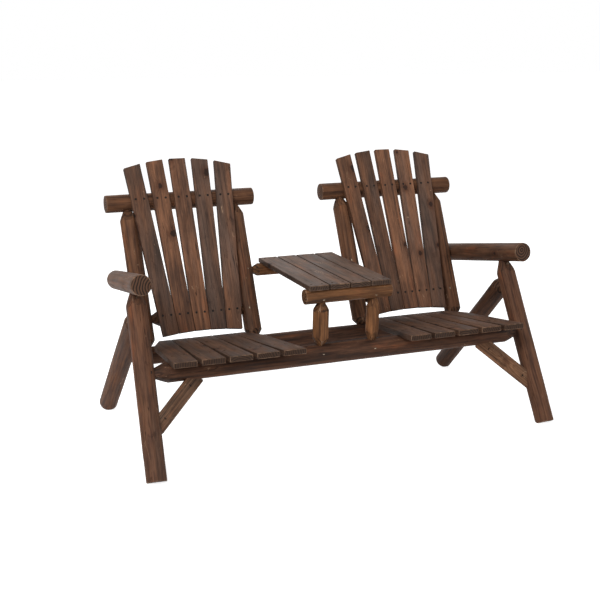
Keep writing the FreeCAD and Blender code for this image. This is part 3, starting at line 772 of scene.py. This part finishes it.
def makeBrace(name):
    s = sideFrame
    points = sides[name]
    upFront = (points["frontTop"] - points["frontFoot"]).normalized()
    low = atHeight(points["frontFoot"], points["frontTop"], s["braceOnLeg"][name]) - yAxis * s["braceSetback"]
    high = points["frontBeamEnd"] - outward[name] * s["braceInset"][name] - yAxis * s["braceSetback"]
    along = (high - low).normalized()
    faceNormal = squareTo(along, -yAxis)
    # the ends are hidden in the leg and in the beam
    start = low + along * (s["legRadius"] * 0.8)
    end = high - along * (s["frontBeamRadius"] * 0.8)
    addLog("brace_" + name, start, end, s["braceRadius"], "brace", cuts=[(low, faceNormal)])
    fromLeg = hostDistance(s["legRadius"], upFront, along) + s["braceScrewInset"]
    fromBeam = hostDistance(s["frontBeamRadius"], xAxis, along) + s["braceScrewInset"]
    lean = faceNormal * 0.35
    addScrew("brace_screws", low + along * fromLeg, (-along - lean).normalized())
    addScrew("brace_screws", high - along * fromBeam, (along - lean).normalized())


for name in sides:
    makeSide(name)
    makeBrace(name)
print("side frames made")


# beams

backMiddle = (chairBack["slats"] - 1) / 2


def fannedEdge(index, hand, pitch, width, gap):
    return index * pitch + hand * min(width, pitch - gap) / 2


def seatPitch(along):
    return seat["frontPitch"] + (seat["rearPitch"] - seat["frontPitch"]) * along / seatDepth


def backPitch(height):
    c = chairBack
    return c["lowerPitch"] + (c["upperPitch"] - c["lowerPitch"]) * height / railSpacing


# how far sideways a slat's edge lies from the middle of its seat or back
def seatSlatEdge(index, hand, along):
    return fannedEdge(index, hand, seatPitch(along), seat["slatWidth"], seat["slatGap"])


def backSlatEdge(index, hand, height):
    return fannedEdge(index, hand, backPitch(height), chairBack["slatWidth"], chairBack["slatGap"])


def planeFrame(origin, x, y):
    return Matrix.Translation(origin) @ Matrix((x, y, x.cross(y))).transposed().to_4x4()


def seatFrame(name, depth=0):
    return planeFrame(seatEdge + outward[name] * chairX - seatUp * depth, xAxis, seatRearward)


def backFrame(name, depth=0):
    origin = lowerRail + outward[name] * chairX - backRearward * (slatFace - depth)
    return planeFrame(origin, xAxis, backUp)


screwRowFront = seat["frontOverhang"]
screwRowRear = seatDepth - seat["screwRearInset"]


def makeBeam(name, end, radius, legRadius, screwRow):
    halfWidth = seatSlatEdge(backMiddle, 1, screwRow) + seat["flatMargin"]
    flats = [(seatFrame(side, seat["slatThickness"]), halfWidth) for side in sides]
    cone = (legRadius, *sideFrame["beamCone"])
    addLog(name, sides["left"][end], sides["right"][end], radius, "beam_log", cone, cone, flats=flats)


makeBeam("front_beam", "frontBeamEnd", sideFrame["frontBeamRadius"], sideFrame["legRadius"], screwRowFront)
makeBeam("rear_beam", "rearBeamEnd", sideFrame["rearBeamRadius"], sideFrame["rearLegRadius"], screwRowRear)
print("beams made")


# chair backs

def makeBackFrame(name):
    c = chairBack
    centre = outward[name] * chairX
    half = xAxis * c["topRailLength"] / 2
    halfSpacing = xAxis * c["postSpacing"] / 2
    behindSlats = backFrame(name, c["slatThickness"])
    flats = {}
    for rail, height in (("lower", 0), ("top", railSpacing)):
        flats[rail] = [(behindSlats, backSlatEdge(backMiddle, 1, height) + c["flatMargin"])]
    addLog(name + "_top_rail", postTop + centre - half, postTop + centre + half, c["topRailRadius"],
           "back_log", flats=flats["top"])
    cone = (c["postRadius"], *c["lowerRailCone"])
    addLog(name + "_lower_rail", lowerRail + centre - halfSpacing, lowerRail + centre + halfSpacing,
           c["lowerRailRadius"], "back_log", cone, cone, flats=flats["lower"])
    for hand in (-1, 1):
        post = name + ("_back_post_outer" if hand == outward[name].x else "_back_post_inner")
        bottom = postBottom + centre + halfSpacing * hand
        top = postTop + centre + halfSpacing * hand
        beamRadius = sideFrame["rearBeamRadius"]
        addLog(post, bottom, top, c["postRadius"], "back_log",
               (beamRadius, *c["postBottomCone"]), (c["topRailRadius"], *c["postTopCone"]))
        for meeting, into, radius in ((bottom, -postUp, beamRadius), (top, postUp, c["topRailRadius"])):
            tenonHead("back_frame_screws", meeting, xAxis, into, radius, yAxis, tenonSetback["post"])
        onPost = postAt(bottom.x, (lowerRail + centre).z)
        tenonHead("back_frame_screws", onPost, postUp, xAxis * hand, c["postRadius"], -yAxis,
                  tenonSetback["lowerRail"])


def arcDrop(offset, radius):
    return radius - math.sqrt(radius ** 2 - offset ** 2)


def backSlatOutline(index):
    c = chairBack
    growth = backPitch(1) - backPitch(0)
    fullFrom = (c["slatWidth"] + c["slatGap"] - c["lowerPitch"]) / growth

    def corner(height, hand, radius):
        x = backSlatEdge(index, hand, height)
        return x, height - arcDrop(x, radius)

    def shoulder(hand):
        return backSlatEdge(index, hand, fullFrom), fullFrom

    top = railSpacing + c["aboveRail"]
    bottom = -c["belowRail"]
    return [corner(bottom, -1, c["bottomArc"]), corner(bottom, 1, c["bottomArc"]), shoulder(1),
            corner(top, 1, c["topArc"]), corner(top, -1, c["topArc"]), shoulder(-1)]


def addSlat(name, outline, thickness, placement, slotName, entries, toneAndShade):
    seed = next(seeds)
    bm = boardBody(outline, thickness, seed)
    bmesh.ops.transform(bm, matrix=placement, verts=bm.verts)
    mesh = meshOf(bm, name)
    mesh = cutFrom(mesh, drills(entries, boardShape["screwHoleRadius"], boardShape["screwHoleDepth"]))
    return finishPiece(name + "_board", mesh, [name], slotName, woods[slotName], placement, True,
                       *toneAndShade, seed)


def makeBackSlats(name):
    c = chairBack
    placement = backFrame(name)
    for number in range(c["slats"]):
        index = number - backMiddle
        entries = []
        for height in (0, railSpacing):
            for hand in (-1, 1):
                x = index * backPitch(height) + hand * c["screwHalfSpacing"]
                entries.append((placement @ Vector((x, height, 0)), backRearward))
        screws.setdefault(name + "_back_slat_screws", []).extend(entries)
        addSlat(name + "_back_slat_" + str(number + 1), backSlatOutline(index), c["slatThickness"], placement,
                "back_slat", entries, slatTones[name][number])


for name in sides:
    makeBackFrame(name)
    makeBackSlats(name)
print("chair backs made")


# seats

def seatSlatOutline(index):
    growth = seatPitch(1) - seatPitch(0)
    narrowFrom = (seat["slatWidth"] + seat["slatGap"] - seat["frontPitch"]) / growth
    cutStart = seatDepth - seat["cornerCutLength"]

    def sideEdge(hand):
        cutCorner = index * hand == backMiddle
        stations = [0, cutStart if cutCorner else narrowFrom, seatDepth]
        edge = [[seatSlatEdge(index, hand, y), y] for y in stations]
        if cutCorner:
            edge[-1][0] -= hand * seat["cornerCutWidth"]
        return edge

    return sideEdge(1) + sideEdge(-1)[::-1]


def makeSeat(name):
    placement = seatFrame(name)
    for number in range(chairBack["slats"]):
        index = number - backMiddle
        entries = []
        for row in (screwRowFront, screwRowRear):
            for hand in (-1, 1):
                x = index * seatPitch(row) + hand * seat["screwHalfSpacing"]
                if row == screwRowRear and index * hand == backMiddle:
                    x -= hand * seat["screwHalfSpacing"]
                entries.append((placement @ Vector((x, row, 0)), -seatUp))
        screws.setdefault(name + "_seat_slat_screws", []).extend(entries)
        addSlat(name + "_seat_slat_" + str(number + 1), seatSlatOutline(index), seat["slatThickness"],
                placement, "seat_slat", entries, seatTones[name][number])


for name in sides:
    makeSeat(name)
print("seats made")


# table between the seats

def makeTable():
    half = xAxis * table["frontLength"] / 2
    underSlats = planeFrame(zAxis * (table["height"] - table["slatThickness"]), xAxis, yAxis)
    flat = (underSlats, table["width"] / 2 + table["flatMargin"])
    addLog("table_crosspiece_front", frontCross - half, frontCross + half, table["frontRadius"], "table_log",
           flats=[flat])
    cone = (chairBack["postRadius"], *table["rearCone"])
    inner = xAxis * innerPostX
    addLog("table_crosspiece_rear", rearCross - inner, rearCross + inner, table["rearRadius"], "table_log",
           cone, cone, flats=[flat])
    for name in sides:
        tenonHead("table_frame_screws", rearCross + outward[name] * innerPostX, postUp, outward[name],
                  chairBack["postRadius"], -yAxis, tenonSetback["rearCrosspiece"])
        radius = table["postRadius"][name]
        bottom = frontBeamAxis + outward[name] * table["postOffset"]
        top = frontCross + outward[name] * table["postOffset"]
        up = (top - bottom).normalized()
        beamRadius = sideFrame["frontBeamRadius"]
        addLog("table_post_" + name, bottom, top, radius, "table_log",
               (beamRadius, *table["postCone"]), (table["frontRadius"], *table["postCone"]))
        for meeting, into, hostRadius in ((bottom, -up, beamRadius), (top, up, table["frontRadius"])):
            tenonHead("table_frame_screws", meeting, xAxis, into, hostRadius, -yAxis,
                      tenonSetback["tablePost"])

    placement = planeFrame(zAxis * table["height"], xAxis, yAxis)
    width = (table["width"] - (table["slats"] - 1) * table["slatGap"]) / table["slats"]
    for number in range(table["slats"]):
        low = number * (width + table["slatGap"]) - table["width"] / 2
        high = low + width
        outline = [(low, tableFrontY), (high, tableFrontY), (high, tableRearY), (low, tableRearY)]
        entries = []
        for y in (frontCross.y, rearCross.y):
            for hand in (-1, 1):
                x = low + width / 2 + hand * table["screwHalfSpacing"]
                entries.append((placement @ Vector((x, y, 0)), -zAxis))
        screws.setdefault("table_slat_screws", []).extend(entries)
        addSlat("table_slat_" + str(number + 1), outline, table["slatThickness"], placement, "table_slat",
                entries, tableTones[number])


makeTable()
print("table made")


# screws

# radii and depths in metres; the rest is in shares of a head's radius
screwShape = {
    "slatHead": 0.0042,
    "frameHead": 0.0055,
    "slatRecess": 0.001,
    "frameRecess": 0.0003,
    "tipRadius": 0.55,
    "headDepth": 0.6,
    "rimRound": 0.08,
    "crossArm": (1.1, 0.22, 0.5),
}
dullGroups = ("leg_frame_screws", "brace_screws")


# a countersunk head with a cross recess; its top is at z 0 and it goes down along Z
def screwHead(radius):
    shape = screwShape
    depth = radius * shape["headDepth"]
    bm = bmesh.new()
    bmesh.ops.create_cone(bm, cap_ends=True, segments=24, radius1=radius, radius2=radius * shape["tipRadius"],
                          depth=depth, matrix=Matrix.Translation((0, 0, depth / 2)))
    rim = [e for e in bm.edges if all(abs(v.co.z) < 1e-6 for v in e.verts)]
    bmesh.ops.bevel(bm, geom=rim, offset=radius * shape["rimRound"], segments=2, profile=0.5,
                    affect="EDGES", material=-1)
    mesh = meshOf(bm, "head")
    slot = Matrix.Diagonal((*(radius * share for share in shape["crossArm"]), 1))
    for angle in (0, turn / 4):
        cross = bmesh.new()
        bmesh.ops.create_cube(cross, size=1, matrix=Matrix.Rotation(angle, 4, "Z") @ slot)
        mesh = cutFrom(mesh, meshOf(cross, "cross"))
    return mesh


heads = {"slat": screwHead(screwShape["slatHead"]), "frame": screwHead(screwShape["frameHead"])}
rng = random.Random(5)
for group, entries in screws.items():
    kind = "slat" if "slat" in group else "frame"
    bm = bmesh.new()
    for point, along in entries:
        place = screwPlace(point + along * screwShape[kind + "Recess"], along)
        place = place @ Matrix.Rotation(rng.uniform(0, turn), 4, "Z")
        before = len(bm.verts)
        bm.from_mesh(heads[kind])
        bm.verts.ensure_lookup_table()
        bmesh.ops.transform(bm, matrix=place, verts=bm.verts[before:])
    mesh = meshOf(bm, group)
    piece = bpy.data.objects.new(group + "_heads", mesh)
    bpy.context.scene.collection.objects.link(piece)
    mesh.materials.clear()
    paint = "dull" if kind == "slat" or group in dullGroups else "zinc"
    mesh.materials.append(screwPaints[paint])
    mesh.shade_smooth()
    mesh.set_sharp_from_angle(angle=math.radians(30))
    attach(piece, "root")
    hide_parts(group)
for mesh in heads.values():
    bpy.data.meshes.remove(mesh)
print("screws made")


# floor, light and camera

# place, the point it faces, (width, height) and watts
lamps = {
    "key_light": ((-2.9, -2.3, 3.4), (0, 0, 0.4), (1.8, 1.8), 118),
    "fill_light": ((2.6, -3.4, 2.0), (0, 0, 0.4), (2.4, 2.4), 34),
    "back_light": ((0.4, 3.2, 3.0), (0, 0, 0.6), (3.0, 1.6), 52),
}
studio = {
    "floorSize": 30,
    "floorColor": (0.85, 0.85, 0.85, 1),
    "floorRoughness": 0.9,
    "floorGlow": 0.82,
    "skyColor": (0.97, 0.98, 1, 1),
    "skyStrength": 0.27,
}


def areaLight(name, place, target, size, power):
    data = bpy.data.lights.new(name, "AREA")
    data.shape = "RECTANGLE"
    data.size, data.size_y = size
    data.energy = power
    lamp = bpy.data.objects.new(name, data)
    lamp.location = place
    lamp.rotation_euler = (Vector(target) - Vector(place)).to_track_quat("-Z", "Y").to_euler()
    lamp.visible_camera = False
    bpy.context.scene.collection.objects.link(lamp)


# 1 for what the camera sees, also in metal or glass
def directRay(tree):
    rays = addNode(tree, "ShaderNodeLightPath").outputs
    seen = calc(tree, "MAXIMUM", rays["Is Camera Ray"], rays["Is Glossy Ray"])
    return calc(tree, "MAXIMUM", seen, rays["Is Transmission Ray"])


for name, setting in lamps.items():
    areaLight(name, *setting)

bm = bmesh.new()
bmesh.ops.create_grid(bm, x_segments=1, y_segments=1, size=studio["floorSize"])
floor = bpy.data.objects.new("floor", meshOf(bm, "floor"))
bpy.context.scene.collection.objects.link(floor)
paper = bpy.data.materials.new("paper")
paper.use_nodes = True
tree = paper.node_tree
shader = tree.nodes["Principled BSDF"]
shader.inputs["Base Color"].default_value = studio["floorColor"]
shader.inputs["Roughness"].default_value = studio["floorRoughness"]
shader.inputs["Emission Color"].default_value = (1, 1, 1, 1)
glow = calc(tree, "MULTIPLY", directRay(tree), studio["floorGlow"])
tree.links.new(glow, shader.inputs["Emission Strength"])
floor.data.materials.append(paper)

world = bpy.data.worlds.new("studio")
bpy.context.scene.world = world
world.use_nodes = True
tree = world.node_tree
tree.nodes.clear()
sky = {"Color": studio["skyColor"], "Strength": studio["skyStrength"]}
soft = addNode(tree, "ShaderNodeBackground", None, sky)
white = addNode(tree, "ShaderNodeBackground", None, {"Color": (1, 1, 1, 1), "Strength": 1.0})
inputs = {0: directRay(tree), 1: soft.outputs[0], 2: white.outputs[0]}
mix = addNode(tree, "ShaderNodeMixShader", None, inputs)
addNode(tree, "ShaderNodeOutputWorld", None, {0: mix.outputs[0]})

view = {
    "location": (-1.500315, -3.508374, 1.408759),
    "angles": (74.613331, -0.012805, -21.845913),
    "lens": 63.40951,
    "shift": (0.001606, 0.04025),
}
cameraData = bpy.data.cameras.new("camera")
camera = bpy.data.objects.new("camera", cameraData)
bpy.context.scene.collection.objects.link(camera)
camera.location = view["location"]
camera.rotation_euler = [math.radians(a) for a in view["angles"]]
cameraData.lens = view["lens"]
cameraData.shift_x, cameraData.shift_y = view["shift"]
bpy.context.scene.camera = camera
bpy.context.scene.view_settings.view_transform = "Standard"
